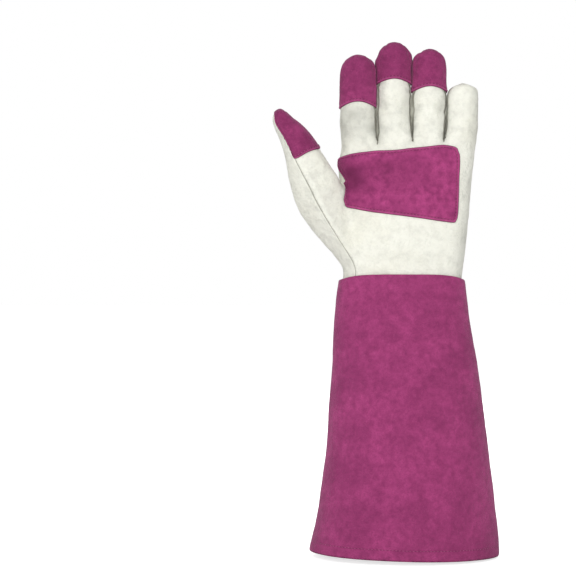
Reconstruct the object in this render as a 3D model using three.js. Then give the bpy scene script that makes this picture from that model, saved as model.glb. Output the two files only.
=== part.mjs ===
import * as THREE from 'three';

// Left-hand rose pruning gauntlet, filled out as if worn: fingers up, palm towards -Y,
// thumb towards -X, origin at the middle of the open hem of the cuff.

// Driving sizes in millimetres.
const cuffLength = 256;
const handLength = 214;
const openingWidth = 176;
const openingDepth = 106;
const palmWidth = 124;
const palmDepth = 46;
const thumbReach = 64;
const leather = 1.2;
const suede = 1.2;
const seamGap = 0.3;
const layGap = 0.3;
const turnGap = 0.9;
const crestGap = 0.35;
const edgeGap = 1;
const hemHeight = 10;
const topArch = 5;
const hemTilt = 2;
const gatherDepth = 1.5;
const gatherCount = 10;
const lapWidth = 12;
const lipHeight = 3.5;
const facingHeight = 8;

const fingerWidth = palmWidth * 0.258;
const fingerDepth = fingerWidth * 0.906;
const thumbTop = handLength * 0.704;
const topRoll = 2 * suede;

// Palm sections from the tucked wrist up to the roots of the fingers.
// rise is a share of handLength above the cuff, x values are shares of palmWidth,
// front and back are shares of palmDepth, arch is how far the row follows the cuff's edge.
// The thumb grows out of the rows marked with it.
const palmRows = [
  { rise: -0.047, arch: 1, left: -0.456, frontLeft: -0.36, backLeft: -0.385,
    right: 0.415, front: 0.495, back: 0.495 },
  { rise: 0.014, arch: 1, left: -0.463, frontLeft: -0.364, backLeft: -0.39,
    right: 0.429, front: 0.505, back: 0.5 },
  { rise: 0.062, arch: 0.5, left: -0.478, frontLeft: -0.384, backLeft: -0.402,
    right: 0.442, front: 0.51, back: 0.5, thumb: true },
  { rise: 0.164, arch: 0, left: -0.48, frontLeft: -0.41, backLeft: -0.43,
    right: 0.468, front: 0.51, back: 0.49, thumb: true },
  { rise: 0.271, arch: 0, left: -0.48, frontLeft: -0.425, backLeft: -0.45,
    right: 0.483, front: 0.49, back: 0.48, thumb: true },
  { rise: 0.4, arch: 0, left: -0.482, frontLeft: -0.425, backLeft: -0.445,
    right: 0.502, front: 0.45, back: 0.45, thumb: true },
  { rise: 0.478, arch: 0, left: -0.487, frontLeft: -0.428, backLeft: -0.432,
    right: 0.519, front: 0.4, back: 0.41 },
  { rise: 0.556, arch: 0, left: -0.468, frontLeft: -0.412, backLeft: -0.412,
    right: 0.532, front: 0.335, back: 0.345 },
];

// Lines running up the palm, two to a finger: across is a share of the front's width and
// lift a share of handLength by which the top row leaves the straight line at that place.
const palmLines = [
  { across: 0, lift: -0.01 },
  { across: 0.094, lift: -0.002 },
  { across: 0.241, lift: -0.005 },
  { across: 0.38, lift: 0.005 },
  { across: 0.524, lift: 0.008 },
  { across: 0.652, lift: 0.01 },
  { across: 0.774, lift: 0.008 },
  { across: 0.895, lift: -0.006 },
  { across: 1, lift: -0.018 },
];

const sideInset = 0.056;
const backSlit = 0.018;
const webDrop = 0.036;
const webRise = 1.2;
const thumbFirstRow = palmRows.findIndex((row) => row.thumb);
const thumbLastRow = palmRows.findLastIndex((row) => row.thumb);
const topRow = palmRows.length - 1;

// Fingers: root and top are the middles of the finger low down and at its cap as shares of
// palmWidth, half is its half width as a share of fingerWidth, tip and cap are heights as
// shares of handLength above the cuff, bow is how far the cap's edge drops at the sides.
const fingers = [
  { name: 'index', root: -0.336, top: -0.345, half: 0.506, tip: 0.931, cap: 0.73, bow: 0.028 },
  { name: 'middle', root: -0.077, top: -0.078, half: 0.48, tip: 0.985, cap: 0.828, bow: 0.024 },
  { name: 'ring', root: 0.173, top: 0.1855, half: 0.478, tip: 0.955, cap: 0.796, bow: 0.026 },
  { name: 'little', root: 0.42, top: 0.43, half: 0.458, tip: 0.815, cap: 0.69, bow: 0 },
];

// Rings of a finger: low rings sit between root and cap edge, high rings between cap edge
// and tip. width and depth are shares of the finger's half width and half depth, curl is
// how far it bends forward as a share of fingerDepth and drop how far its sides sit lower.
const fingerRings = [
  { part: 'low', share: 0.45, width: 1, depth: 1.03, curl: 0.04 },
  { part: 'low', share: 1, width: 0.95, depth: 0.94, curl: 0.08 },
  { part: 'high', share: 0.45, width: 0.92, depth: 0.9, curl: 0.16 },
  { part: 'high', share: 0.8, width: 0.835, depth: 0.78, curl: 0.24 },
  { part: 'high', share: 0.985, width: 0.48, depth: 0.34, curl: 0.28, drop: 0.16 },
];
const fingerSeam = 0.89;

// Rings of the thumb from its root to its tip. Outer and inner are the two sides of the
// thumb seen from the palm: x as a share of palmWidth, z as a share of thumbTop above the
// cuff. forward is how far the thumb stands before the palm and deep its half depth, both
// as shares of thumbReach, seam where the thumb's back piece begins across the front, web
// how far the inner edge of the front reaches over the palm and crown how far the middle
// of the tip stands up. The cap covers the rings marked with it.
const thumbRings = [
  { outerX: -0.655, outerZ: 0.235, innerX: -0.51, innerZ: 0.585,
    forward: 0.07, deep: 0.33, seam: 0.36, web: 0.035 },
  { outerX: -0.783, outerZ: 0.385, innerX: -0.535, innerZ: 0.633,
    forward: 0.13, deep: 0.31, seam: 0.41, web: 0.02 },
  { outerX: -0.85, outerZ: 0.54, innerX: -0.573, innerZ: 0.685,
    forward: 0.2, deep: 0.27, seam: 0.365, web: 0.008 },
  { outerX: -0.88, outerZ: 0.685, innerX: -0.628, innerZ: 0.752,
    forward: 0.27, deep: 0.235, seam: 0.25, web: 0 },
  { outerX: -0.93, outerZ: 0.82, innerX: -0.717, innerZ: 0.853,
    forward: 0.34, deep: 0.215, seam: 0.17, web: 0, cap: true },
  { outerX: -0.973, outerZ: 0.9, innerX: -0.805, innerZ: 0.915,
    forward: 0.39, deep: 0.17, seam: 0.12, web: 0, cap: true },
  { outerX: -0.966, outerZ: 0.946, innerX: -0.872, innerZ: 0.954,
    forward: 0.41, deep: 0.12, seam: 0.14, web: 0, crown: 0.02, cap: true },
];

// Cuff sections from the hem up: height is a share of cuffLength, left and right are
// shares of openingWidth, depth is a share of half the openingDepth.
const cuffRows = [
  { height: 0, left: -0.5, right: 0.5, depth: 1 },
  { height: 0.04, left: -0.488, right: 0.496, depth: 0.985 },
  { height: 0.11, left: -0.463, right: 0.487, depth: 0.962 },
  { height: 0.21, left: -0.437, right: 0.47, depth: 0.925 },
  { height: 0.33, left: -0.413, right: 0.453, depth: 0.875 },
  { height: 0.46, left: -0.4, right: 0.428, depth: 0.815 },
  { height: 0.59, left: -0.389, right: 0.4, depth: 0.745 },
  { height: 0.72, left: -0.374, right: 0.371, depth: 0.675 },
  { height: 0.83, left: -0.364, right: 0.345, depth: 0.615 },
  { height: 0.92, left: -0.357, right: 0.33, depth: 0.575 },
];
const cuffSides = 40;
const topFollow = 0.8;
const wristPower = 2.6;
const lapAngle = 2.62;

// Edges of the palm patch from the index side to the right: low and high are shares of
// handLength above the cuff. Its right end is given by shares of palmWidth.
const patchEdges = [
  { across: 0, low: 0.297, high: 0.497 },
  { across: 0.17, low: 0.276, high: 0.515 },
  { across: 0.33, low: 0.26, high: 0.525 },
  { across: 0.44, low: 0.251, high: 0.526 },
  { across: 0.56, low: 0.242, high: 0.536 },
  { across: 0.78, low: 0.225, high: 0.55 },
  { across: 0.9, low: 0.217, high: 0.543 },
  { across: 1, low: 0.216, high: 0.53 },
];
const patchRight = { low: 0.38, high: 0.404 };
const patchShares = [0, 0.07, 0.25, 0.5, 0.75, 0.93, 1];
const patchCorner = { up: 0.07, in: 0.3 };

const point = (x, y, z) => new THREE.Vector3(x, y, z);

const mix = (a, b, t) => a + (b - a) * t;

// Value of a table's column at a place between two of its lines.
function tableAt(table, across, name) {
  const next = Math.max(1, table.findIndex((line) => line.across >= across));
  const [low, high] = [table[next - 1], table[next]];
  return mix(low[name], high[name], (across - low.across) / (high.across - low.across));
}

const step = (from, to, value) => {
  const t = Math.min(1, Math.max(0, (value - from) / (to - from)));
  return t * t * (3 - 2 * t);
};

// Height of the cuff's top edge at a place across the wrist, from -1 to 1.
const edgeDrop = (across) => topArch * Math.min(1, Math.abs(across)) ** 5;

const roundness = (across, power) => (1 - Math.min(1, Math.abs(across)) ** power) ** (1 / power);

// Cage of the hand: corner points with the places their surface should pass through.
const cage = { points: [], faces: [], tags: [], roles: [] };

function corner(position, role) {
  cage.points.push(position);
  cage.roles.push(role);
  return cage.points.length - 1;
}

function face(corners, tag) {
  cage.faces.push(corners);
  cage.tags.push(tag);
  return cage.faces.length - 1;
}

function palmPoint(row, x, side, top) {
  const middle = (row.left + row.right) / 2;
  const half = (row.right - row.left) / 2;
  const across = (x - middle) / half;
  const deep = side === 'front' ? -row.front : row.back;
  const drop = row.arch * edgeDrop(across);
  const height = cuffLength + row.rise * handLength - drop + top;
  return point(x * palmWidth, deep * palmDepth * roundness(across, wristPower), height);
}

const front = [];
const back = [];
const leftSide = [];
const rightSide = [];
palmRows.forEach((row, r) => {
  const top = r === topRow ? 1 : 0;
  const rightEdge = row.right - sideInset;
  front.push(palmLines.map((line, j) => {
    const x = mix(row.frontLeft, rightEdge, line.across);
    const web = r === thumbLastRow && j === 0 ? -webDrop : 0;
    return corner(palmPoint(row, x, 'front', (top * line.lift + web) * handLength), 'palm');
  }));
  back.push(palmLines.map((line) => {
    const x = mix(row.backLeft, rightEdge, line.across);
    return corner(palmPoint(row, x, 'back', top * (line.lift - backSlit) * handLength), 'back');
  }));
  const hasLeft = r <= thumbFirstRow || r >= thumbLastRow;
  const sideHeight = cuffLength + row.rise * handLength - row.arch * topArch - top * backSlit * handLength;
  leftSide.push(hasLeft ? corner(point(row.left * palmWidth, 0, sideHeight), 'side') : -1);
  rightSide.push(corner(point(row.right * palmWidth, 0, sideHeight), 'side'));
});

const frontFaces = [];
const leftFaces = [];
for (let r = 0; r < topRow; r += 1) {
  const line = [];
  for (let j = 0; j < palmLines.length - 1; j += 1) {
    line.push(face([front[r][j], front[r][j + 1], front[r + 1][j + 1], front[r + 1][j]], 'palm'));
    face([back[r][j + 1], back[r][j], back[r + 1][j], back[r + 1][j + 1]], 'back');
  }
  frontFaces.push(line);
  const last = palmLines.length - 1;
  face([front[r][last], rightSide[r], rightSide[r + 1], front[r + 1][last]], 'palm');
  face([rightSide[r], back[r][last], back[r + 1][last], rightSide[r + 1]], 'back');
  const opensToThumb = r >= thumbFirstRow && r < thumbLastRow;
  if (!opensToThumb) {
    const low = r < thumbFirstRow;
    const frontTag = low ? 'thumb_back' : 'palm';
    const edge = face([leftSide[r], front[r][0], front[r + 1][0], leftSide[r + 1]], frontTag);
    leftFaces.push({ row: r, index: edge });
    face([back[r][0], leftSide[r], leftSide[r + 1], back[r + 1][0]], low ? 'thumb_back' : 'back');
  }
}

// Middle of each crotch between two fingers.
const crotches = [2, 4, 6].map((j) => {
  const a = cage.points[front[topRow][j]];
  const b = cage.points[back[topRow][j]];
  return corner(point((a.x + b.x) / 2, 0, (a.z + b.z) / 2), 'side');
});

function closeTip(ring, half, tag) {
  const count = ring.length;
  const fronts = ring.slice(0, half);
  const backs = ring.slice(half + 1, count - 1).reverse();
  for (let i = 0; i < half - 1; i += 1) {
    face([fronts[i], fronts[i + 1], backs[i + 1], backs[i]], tag);
  }
  face([ring[count - 1], fronts[0], backs[0]], tag);
  face([ring[half], backs[half - 1], fronts[half - 1]], tag);
}

function joinRings(low, high, tags) {
  const count = low.length;
  for (let i = 0; i < count; i += 1) {
    const n = (i + 1) % count;
    face([low[i], low[n], high[n], high[i]], tags[i]);
  }
}

const capRings = {};
const between = ['fourchette_index_middle', 'fourchette_middle_ring', 'fourchette_ring_little'];
fingers.forEach((finger, f) => {
  const j = 2 * f;
  const sideLeft = f === 0 ? leftSide[topRow] : crotches[f - 1];
  const sideRight = f === fingers.length - 1 ? rightSide[topRow] : crotches[f];
  const root = [front[topRow][j], front[topRow][j + 1], front[topRow][j + 2], sideRight];
  root.push(back[topRow][j + 2], back[topRow][j + 1], back[topRow][j], sideLeft);
  const rightTags = f === fingers.length - 1 ? ['palm', 'back'] : [between[f], between[f]];
  const leftTags = f === 0 ? ['back', 'palm'] : [between[f - 1], between[f - 1]];
  const tags = ['palm', 'palm', ...rightTags, 'back', 'back', ...leftTags];
  const rootHeight = palmRows[topRow].rise;
  let low = root;
  fingerRings.forEach((ring, k) => {
    const lowRise = mix(rootHeight, finger.cap, ring.share);
    const highRise = mix(finger.cap, finger.tip, ring.share);
    const rise = ring.part === 'low' ? lowRise : highRise;
    const x = mix(finger.root, finger.top, Math.min(1, (k + 1) / 2)) * palmWidth;
    const z = cuffLength + rise * handLength;
    const half = finger.half * fingerWidth * ring.width;
    const deep = 0.5 * fingerDepth * ring.depth;
    const bend = -ring.curl * fingerDepth;
    const bow = finger.bow * handLength * (ring.part === 'high' ? 1 - ring.share : ring.share);
    const spot = (across, sign) => {
      const y = bend + sign * deep * roundness(across, 2.3);
      const crown = (ring.drop ?? 0) * fingerWidth / 2;
      return point(x + half * across, y, z + bow * (0.25 - across ** 2) - crown * across ** 2);
    };
    const high = [
      corner(spot(-fingerSeam, -1), 'palm'),
      corner(spot(0, -1), 'palm'),
      corner(spot(fingerSeam, -1), 'palm'),
      corner(spot(1, 0), 'side'),
      corner(spot(fingerSeam, 1), 'back'),
      corner(spot(0, 1), 'back'),
      corner(spot(-fingerSeam, 1), 'back'),
      corner(spot(-1, 0), 'side'),
    ];
    const start = cage.faces.length;
    joinRings(low, high, tags);
    if (k >= 2) {
      capRings[finger.name] = (capRings[finger.name] ?? []).concat([{ start, count: 8 }]);
    }
    low = high;
  });
  const start = cage.faces.length;
  closeTip(low, 3, `tip_${finger.name}`);
  capRings[finger.name].push({ start, count: cage.faces.length - start, tip: true });
});

// Thumb, growing out of the left side of the palm.
const thumbRoot = [];
for (let r = thumbFirstRow; r <= thumbLastRow; r += 1) {
  thumbRoot.push(front[r][0]);
}
thumbRoot.push(leftSide[thumbLastRow]);
for (let r = thumbLastRow; r >= thumbFirstRow; r -= 1) {
  thumbRoot.push(back[r][0]);
}
thumbRoot.push(leftSide[thumbFirstRow]);
const thumbTags = ['palm', 'palm', 'palm', 'palm', 'thumb_back', 'thumb_back', 'thumb_back', 'thumb_back'];
thumbTags.push('thumb_back', 'thumb_back');
let thumbLow = thumbRoot;
thumbRings.forEach((ring, k) => {
  const place = (across, sign) => {
    const x = mix(ring.outerX, ring.innerX, across) * palmWidth;
    const crown = (ring.crown ?? 0) * (1 - (2 * across - 1) ** 2);
    const z = cuffLength + (mix(ring.outerZ, ring.innerZ, across) + crown) * thumbTop;
    const y = -ring.forward * thumbReach + sign * ring.deep * thumbReach * roundness(2 * across - 1, 2.2);
    return point(x, y, z);
  };
  const high = [];
  [0, 0.33, 0.68, 1].forEach((t) => {
    const spot = place(mix(ring.seam, 0.9, t), -1);
    spot.x += t ** 3 * ring.web * palmWidth;
    spot.z += webRise * t ** 3 * ring.web * palmWidth;
    high.push(corner(spot, 'palm'));
  });
  high.push(corner(place(1, 0), 'side'));
  [0.88, 0.63, 0.37, 0.12].forEach((t) => high.push(corner(place(t, 1), 'back')));
  high.push(corner(place(0, 0), 'side'));
  const start = cage.faces.length;
  joinRings(thumbLow, high, thumbTags);
  if (ring.cap) {
    capRings.thumb = (capRings.thumb ?? []).concat([{ start, count: 10 }]);
  }
  thumbLow = high;
});
const thumbTipStart = cage.faces.length;
closeTip(thumbLow, 4, 'tip_thumb');
capRings.thumb.push({ start: thumbTipStart, count: cage.faces.length - thumbTipStart, tip: true });

// Smoothing of the cage: every face is cut into four-sided ones, one at each corner.
const edgeKey = (a, b) => (a < b ? `${a} ${b}` : `${b} ${a}`);

function edgesOf(faces) {
  const edges = new Map();
  faces.forEach((corners, f) => {
    corners.forEach((a, i) => {
      const b = corners[(i + 1) % corners.length];
      const key = edgeKey(a, b);
      if (!edges.has(key)) {
        edges.set(key, { ends: [a, b], faces: [] });
      }
      edges.get(key).faces.push(f);
    });
  });
  return edges;
}

const meanOf = (list) => list.reduce((sum, p) => sum.add(p), point(0, 0, 0)).divideScalar(list.length);

const cageEdges = edgesOf(cage.faces);
const edgeNumber = new Map();
[...cageEdges.keys()].forEach((key, i) => edgeNumber.set(key, cage.points.length + i));
const faceNumber = (f) => cage.points.length + cageEdges.size + f;

const fineFaces = [];
cage.faces.forEach((corners, f) => {
  corners.forEach((v, i) => {
    const next = corners[(i + 1) % corners.length];
    const previous = corners[(i + corners.length - 1) % corners.length];
    const quad = [v, edgeNumber.get(edgeKey(v, next)), faceNumber(f), edgeNumber.get(edgeKey(v, previous))];
    fineFaces.push({ corners: quad, parent: f, at: v });
  });
});

function smoothed(points) {
  const centres = cage.faces.map((corners) => meanOf(corners.map((v) => points[v])));
  const around = points.map(() => ({ faces: [], mids: [], rims: [] }));
  cage.faces.forEach((corners, f) => corners.forEach((v) => around[v].faces.push(centres[f])));
  const edgePoints = [];
  cageEdges.forEach((edge) => {
    const [a, b] = edge.ends.map((v) => points[v]);
    const mid = meanOf([a, b]);
    edge.ends.forEach((v, i) => {
      around[v].mids.push(mid);
      if (edge.faces.length === 1) {
        around[v].rims.push(points[edge.ends[1 - i]]);
      }
    });
    edgePoints.push(edge.faces.length === 1 ? mid : meanOf([a, b, ...edge.faces.map((f) => centres[f])]));
  });
  const moved = points.map((p, v) => {
    const { faces, mids, rims } = around[v];
    if (rims.length > 0) {
      return p.clone().multiplyScalar(6).add(rims[0]).add(rims[1]).divideScalar(8);
    }
    const n = faces.length;
    return meanOf(faces).addScaledVector(meanOf(mids), 2).addScaledVector(p, n - 3).divideScalar(n);
  });
  return moved.concat(edgePoints, centres);
}

const fineEdges = edgesOf(fineFaces.map((quad) => quad.corners));

function settled(points) {
  const around = points.map(() => ({ near: [], far: [], rims: [] }));
  fineEdges.forEach((edge) => {
    edge.ends.forEach((v, i) => {
      const other = points[edge.ends[1 - i]];
      around[v].near.push(other);
      if (edge.faces.length === 1) {
        around[v].rims.push(other);
      }
    });
  });
  fineFaces.forEach(({ corners }) => {
    corners.forEach((v, i) => around[v].far.push(points[corners[(i + 2) % 4]]));
  });
  return points.map((p, v) => {
    const { near, far, rims } = around[v];
    if (rims.length > 0) {
      return p.clone().multiplyScalar(4).add(rims[0]).add(rims[1]).divideScalar(6);
    }
    const n = near.length;
    const sum = p.clone().multiplyScalar(n * n);
    near.forEach((q) => sum.addScaledVector(q, 4));
    far.forEach((q) => sum.add(q));
    return sum.divideScalar(n * (n + 5));
  });
}

// The cage is moved until the smooth surface passes through the wanted places.
const wanted = cage.points.map((p) => p.clone());
let control = cage.points.map((p) => p.clone());
for (let round = 0; round < 6; round += 1) {
  const reached = settled(smoothed(control));
  control = control.map((p, v) => p.clone().add(wanted[v]).sub(reached[v]));
}
const skin = settled(smoothed(control));

// Normals of a list of faces at their points.
function normalsOf(points, faces) {
  const normals = points.map(() => point(0, 0, 0));
  faces.forEach((corners) => {
    corners.forEach((v, i) => {
      const next = points[corners[(i + 1) % corners.length]];
      const previous = points[corners[(i + corners.length - 1) % corners.length]];
      const turn = next.clone().sub(points[v]).cross(previous.clone().sub(points[v]));
      normals[v].add(turn);
    });
  });
  normals.forEach((n) => n.normalize());
  return normals;
}

// Faces of each leather piece.
const pieces = {};
function give(name, corners) {
  pieces[name] = pieces[name] ?? [];
  pieces[name].push(corners);
}

const tipSides = {
  tip_index: ['palm', between[0]],
  tip_middle: [between[0], between[1]],
  tip_ring: [between[1], between[2]],
  tip_little: [between[2], 'palm'],
  tip_thumb: ['thumb_back', 'thumb_back'],
};
const backOf = (tag) => (tag === 'tip_thumb' ? 'thumb_back' : 'back');

function pieceOf(quad) {
  const tag = cage.tags[quad.parent];
  if (!tag.startsWith('tip_')) {
    return tag;
  }
  const role = cage.roles[quad.at];
  if (role === 'palm') {
    return 'palm';
  }
  if (role === 'back') {
    return backOf(tag);
  }
  const centre = meanOf(cage.faces[quad.parent].map((v) => wanted[v]));
  return tipSides[tag][wanted[quad.at].x < centre.x ? 0 : 1];
}

fineFaces.forEach((quad) => {
  quad.piece = pieceOf(quad);
});

// Gathers drawn in by the elastic at the back of the wrist: the faces there are cut in
// three across so that they can follow the puckers.
const gatherFrom = 0.035;
const gatherLine = 0.062;
const gatherTo = 0.235;
const points = skin.map((p) => p.clone());
const cuts = new Map();

function riseOf(v) {
  return (points[v].z - cuffLength) / handLength;
}

function isGathered(v) {
  const rise = riseOf(v);
  return rise > gatherFrom && rise < gatherTo;
}

const firstCutNumber = points.length;
function cutEdge(a, b) {
  const key = edgeKey(a, b);
  if (!cuts.has(key)) {
    const low = Math.min(a, b);
    const high = Math.max(a, b);
    const numbers = [1 / 3, 2 / 3].map((t) => {
      points.push(points[low].clone().lerp(points[high], t));
      return points.length - 1;
    });
    cuts.set(key, { low, numbers });
  }
  const { low, numbers } = cuts.get(key);
  return a === low ? numbers : [numbers[1], numbers[0]];
}

const backLines = new Set(back.flat());
fineFaces.forEach((quad) => {
  const isBack = quad.piece === 'back' && cage.faces[quad.parent].every((v) => backLines.has(v));
  if (!isBack) {
    give(quad.piece, quad.corners);
    return;
  }
  const loop = [];
  quad.corners.forEach((a, i) => {
    const b = quad.corners[(i + 1) % 4];
    loop.push(a);
    const crosswise = Math.abs(points[a].x - points[b].x) > Math.abs(points[a].z - points[b].z);
    if (crosswise && isGathered(a) && isGathered(b)) {
      loop.push(...cutEdge(a, b));
    }
  });
  if (loop.length < 8) {
    give('back', loop);
    return;
  }
  let turn = 0;
  while (loop[turn + 1] < firstCutNumber || loop[turn] >= firstCutNumber) {
    turn += 1;
  }
  const at = (i) => loop[(turn + i) % 8];
  give('back', [at(0), at(1), at(6), at(7)]);
  give('back', [at(1), at(2), at(5), at(6)]);
  give('back', [at(2), at(3), at(4), at(5)]);
});

const allFaces = Object.values(pieces).flat();
const flatNormals = normalsOf(points, allFaces);
const gatheredPoints = new Set(pieces.back.flat().filter(isGathered));
gatheredPoints.forEach((v) => {
  const rise = riseOf(v);
  const across = points[v].x / (palmWidth * 0.42);
  const drawnIn = step(gatherFrom, gatherLine, rise);
  const strength = rise < gatherLine ? drawnIn : 1 - step(gatherLine, gatherTo, rise);
  const side = 1 - step(0.7, 1, Math.abs(across));
  const wave = Math.cos(Math.PI * gatherCount * across);
  const pucker = gatherDepth * strength * side * (wave - 0.6);
  points[v].addScaledVector(flatNormals[v], pucker);
});
const normals = normalsOf(points, allFaces);

// A leather piece as a thin closed shell between two distances from the surface.
function shellOf(faces, lower, upper, shapePoints, shapeNormals) {
  const edges = new Map();
  faces.forEach((corners) => {
    corners.forEach((a, i) => {
      edges.set(`${a} ${corners[(i + 1) % corners.length]}`, corners);
    });
  });
  const rims = [];
  const pull = new Map();
  edges.forEach((corners, key) => {
    const [a, b] = key.split(' ').map(Number);
    if (edges.has(`${b} ${a}`)) {
      return;
    }
    rims.push([a, b]);
    const along = shapePoints[b].clone().sub(shapePoints[a]).normalize();
    [a, b].forEach((v) => {
      const inward = shapeNormals[v].clone().cross(along).normalize();
      pull.set(v, (pull.get(v) ?? []).concat([inward]));
    });
  });
  const moved = new Map();
  const order = [...new Set(faces.flat())];
  order.forEach((v) => {
    const p = shapePoints[v].clone();
    const inward = pull.get(v);
    if (inward !== undefined) {
      const sum = inward[0].clone().add(inward[1] ?? inward[0]);
      const sharp = Math.min(2.6, 2 / Math.max(0.01, sum.length()));
      p.addScaledVector(sum.normalize(), (seamGap / 2) * sharp);
    }
    moved.set(v, p);
  });
  const number = new Map(order.map((v, i) => [v, i]));
  const count = order.length;
  const positions = [];
  [upper, lower].forEach((height) => {
    order.forEach((v) => {
      const p = moved.get(v).clone().addScaledVector(shapeNormals[v], height);
      positions.push(p.x, p.y, p.z);
    });
  });
  const index = [];
  const spotOf = (i) => point(positions[3 * i], positions[3 * i + 1], positions[3 * i + 2]);
  faces.forEach((corners) => {
    const tops = corners.map((v) => number.get(v));
    const cutsOf = [];
    if (tops.length === 4) {
      const [a, b, c, d] = tops.map(spotOf);
      const first = a.distanceTo(c) <= b.distanceTo(d);
      cutsOf.push(...(first ? [[0, 1, 2], [0, 2, 3]] : [[0, 1, 3], [1, 2, 3]]));
    } else {
      for (let i = 1; i < tops.length - 1; i += 1) {
        cutsOf.push([0, i, i + 1]);
      }
    }
    cutsOf.forEach(([a, b, c]) => {
      index.push(tops[a], tops[b], tops[c]);
      index.push(tops[c] + count, tops[b] + count, tops[a] + count);
    });
  });
  rims.forEach(([a, b]) => {
    const [i, j] = [number.get(a), number.get(b)];
    if (a < b) {
      index.push(j, i, i + count, j, i + count, j + count);
    } else {
      index.push(j, i, j + count, i, i + count, j + count);
    }
  });
  return { positions, index };
}

const group = new THREE.Group();
const cream = { color: 0xf0eedf, roughness: 0.62, metalness: 0 };
const rose = { color: 0x9e3f73, roughness: 0.92, metalness: 0 };

function addMesh(name, shape, look) {
  const geometry = new THREE.BufferGeometry();
  geometry.setAttribute('position', new THREE.Float32BufferAttribute(shape.positions, 3));
  geometry.setIndex(shape.index);
  geometry.computeVertexNormals();
  const mesh = new THREE.Mesh(geometry, new THREE.MeshStandardMaterial(look));
  mesh.name = name;
  group.add(mesh);
}

const nodeNames = { palm: 'palm_panel', back: 'back_panel' };
Object.entries(pieces).forEach(([name, faces]) => {
  addMesh(nodeNames[name] ?? name, shellOf(faces, -leather, 0, points, normals), cream);
});

// Suede caps over the finger tips: front and sides, up to the seam of the back.
Object.entries(capRings).forEach(([name, spans]) => {
  if (name === 'little') {
    return;
  }
  const faces = [];
  fineFaces.forEach((quad) => {
    const span = spans.find(({ start, count }) => quad.parent >= start && quad.parent < start + count);
    if (span === undefined) {
      return;
    }
    const place = quad.parent - span.start;
    const isThumb = name === 'thumb';
    const onRing = place < 4 || (!isThumb && place >= 6);
    const onTip = isThumb ? cage.roles[quad.at] === 'palm' : cage.roles[quad.at] !== 'back';
    if (span.tip ? onTip : onRing) {
      faces.push(quad.corners);
    }
  });
  addMesh(`${name}_cap`, shellOf(faces, layGap, layGap + suede, points, normals), rose);
});

// Palm surface addressed by line across and row up, both counted in half cage steps.
const leftFaceAt = new Map(leftFaces.map(({ row, index }) => [row, index]));
function gridPoint(column, row) {
  const [r, j] = [Math.floor(row / 2), Math.floor(column / 2)];
  const oddRow = row % 2 !== 0;
  if (column < 0) {
    const low = column === -1 ? edgeNumber.get(edgeKey(leftSide[r], front[r][0])) : leftSide[r];
    if (!oddRow) {
      return low;
    }
    const side = edgeNumber.get(edgeKey(leftSide[r], leftSide[r + 1]));
    return column === -1 ? faceNumber(leftFaceAt.get(r)) : side;
  }
  const oddColumn = column % 2 !== 0;
  if (oddRow && oddColumn) {
    return faceNumber(frontFaces[r][j]);
  }
  if (oddRow) {
    return edgeNumber.get(edgeKey(front[r][j], front[r + 1][j]));
  }
  return oddColumn ? edgeNumber.get(edgeKey(front[r][j], front[r][j + 1])) : front[r][j];
}

function surfaceAt(column, row) {
  const [i, k] = [Math.floor(column), Math.min(Math.floor(row), 2 * topRow - 1)];
  const [s, t] = [column - i, row - k];
  const blend = (source) => {
    const low = source[gridPoint(i, k)].clone().lerp(source[gridPoint(i + 1, k)], s);
    const high = source[gridPoint(i, k + 1)].clone().lerp(source[gridPoint(i + 1, k + 1)], s);
    return low.lerp(high, t);
  };
  return { spot: blend(points), normal: blend(normals).normalize() };
}

function rowAtHeight(column, height) {
  let [low, high] = [column < 0 ? 2 * thumbLastRow : 4, 2 * topRow - 0.02];
  for (let i = 0; i < 30; i += 1) {
    const middle = (low + high) / 2;
    if (surfaceAt(column, middle).spot.z < height) {
      low = middle;
    } else {
      high = middle;
    }
  }
  return low;
}

function columnAtX(row, x) {
  let [low, high] = [0, 2 * palmLines.length - 2.02];
  for (let i = 0; i < 30; i += 1) {
    const middle = (low + high) / 2;
    if (surfaceAt(middle, row).spot.x < x) {
      low = middle;
    } else {
      high = middle;
    }
  }
  return low;
}

// Grid lines the patch follows beside the thumb and, above it, round the index side.
const besideThumb = [0.1, 0.4, 0.7, 1];
const roundSide = [-1.9, -1, 0, 1];
const patchColumns = besideThumb.length + 14;
const patchRows = patchShares.length - 1;
const patchPoints = [];
const patchNormals = [];
for (let k = 0; k <= patchRows; k += 1) {
  for (let i = 0; i <= patchColumns; i += 1) {
    const v = patchShares[k];
    const u = i / patchColumns;
    const rounded = i === patchColumns && (k === 0 || k === patchRows);
    const up = rounded ? mix(v, 0.5, patchCorner.up) : v;
    const low = tableAt(patchEdges, u, 'low');
    const high = tableAt(patchEdges, u, 'high');
    const height = cuffLength + mix(low, high, up) * handLength;
    const guess = rowAtHeight(2, height);
    const right = columnAtX(guess, mix(patchRight.low, patchRight.high, up) * palmWidth);
    const wrap = step(2 * thumbLastRow + 0.3, 2 * thumbLastRow + 1.3, guess);
    const inner = i < roundSide.length ? mix(besideThumb[i], roundSide[i], wrap) : i - 2;
    const spare = 0.4 * (patchColumns - i);
    const end = right - (rounded ? patchCorner.in : 0);
    const column = i === patchColumns ? end : Math.min(inner, right - spare);
    const row = rowAtHeight(column, height);
    const { spot, normal } = surfaceAt(column, row);
    const turning = i < roundSide.length && Math.abs(guess - 2 * thumbLastRow) < 1.9;
    const crest = k >= patchRows - 1 ? crestGap : 0;
    patchPoints.push(spot.addScaledVector(normal, turning ? turnGap : crest));
    patchNormals.push(normal);
  }
}
const patchFaces = [];
for (let k = 0; k < patchRows; k += 1) {
  for (let i = 0; i < patchColumns; i += 1) {
    const a = k * (patchColumns + 1) + i;
    patchFaces.push([a, a + 1, a + patchColumns + 2, a + patchColumns + 1]);
  }
}
addMesh('palm_patch', shellOf(patchFaces, layGap, layGap + suede, patchPoints, patchNormals), rose);

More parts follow.
